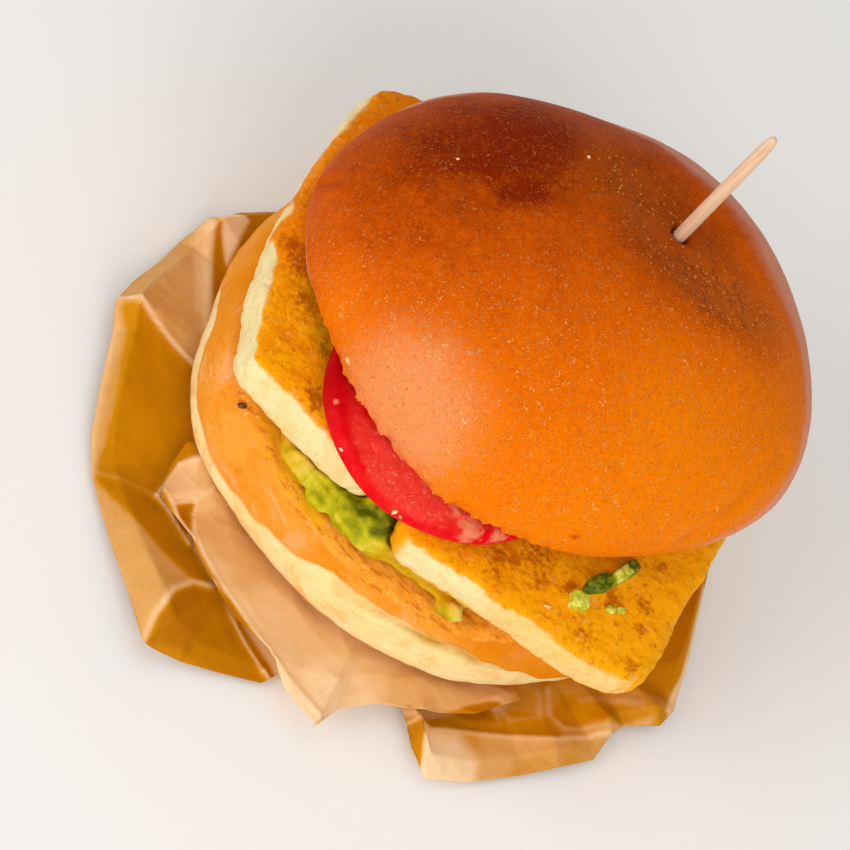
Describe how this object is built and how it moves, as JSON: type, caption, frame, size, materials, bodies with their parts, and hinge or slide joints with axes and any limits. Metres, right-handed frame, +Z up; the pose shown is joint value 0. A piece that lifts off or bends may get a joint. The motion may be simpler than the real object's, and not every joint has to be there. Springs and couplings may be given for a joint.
{
  "type": "tofu burger",
  "caption": "Tofu burger in a glossy round bun with avocado mash and tomato, held by a wooden skewer, on crumpled greaseproof paper.",
  "frame": {"origin": "the paper's flat underside, below the middle of the bottom bun", "axes": "+Z up along the stack and the skewer, -Y towards the open front where the tomato and the gap between the slabs show, +X to the right of someone who looks at that front"},
  "size_m": [0.134, 0.1409, 0.1036],
  "materials": {
    "paper": "matte brown greaseproof paper, thin and slightly see-through",
    "bottom_bun": "soft baked crust, peach to orange, with a pale yellow side",
    "avocado": "moist mash, yellow green with dark green strips",
    "tofu": "fried golden faces with brown sear, cream cut sides",
    "tomato": "wet red slice with paler flesh inside its skin",
    "top_bun": "glazed bun crust, brown at the top to orange at the sides",
    "skewer": "plain pale bamboo with fine grain"
  },
  "bodies": {
    "root": {"paper": "paper", "bottom_bun": "bottom_bun", "avocado_mash": "avocado", "tofu_left": "tofu", "tofu_right": "tofu", "tomato_slice": "tomato", "top_bun": "top_bun", "skewer": "skewer"}
  },
  "joints": []
}
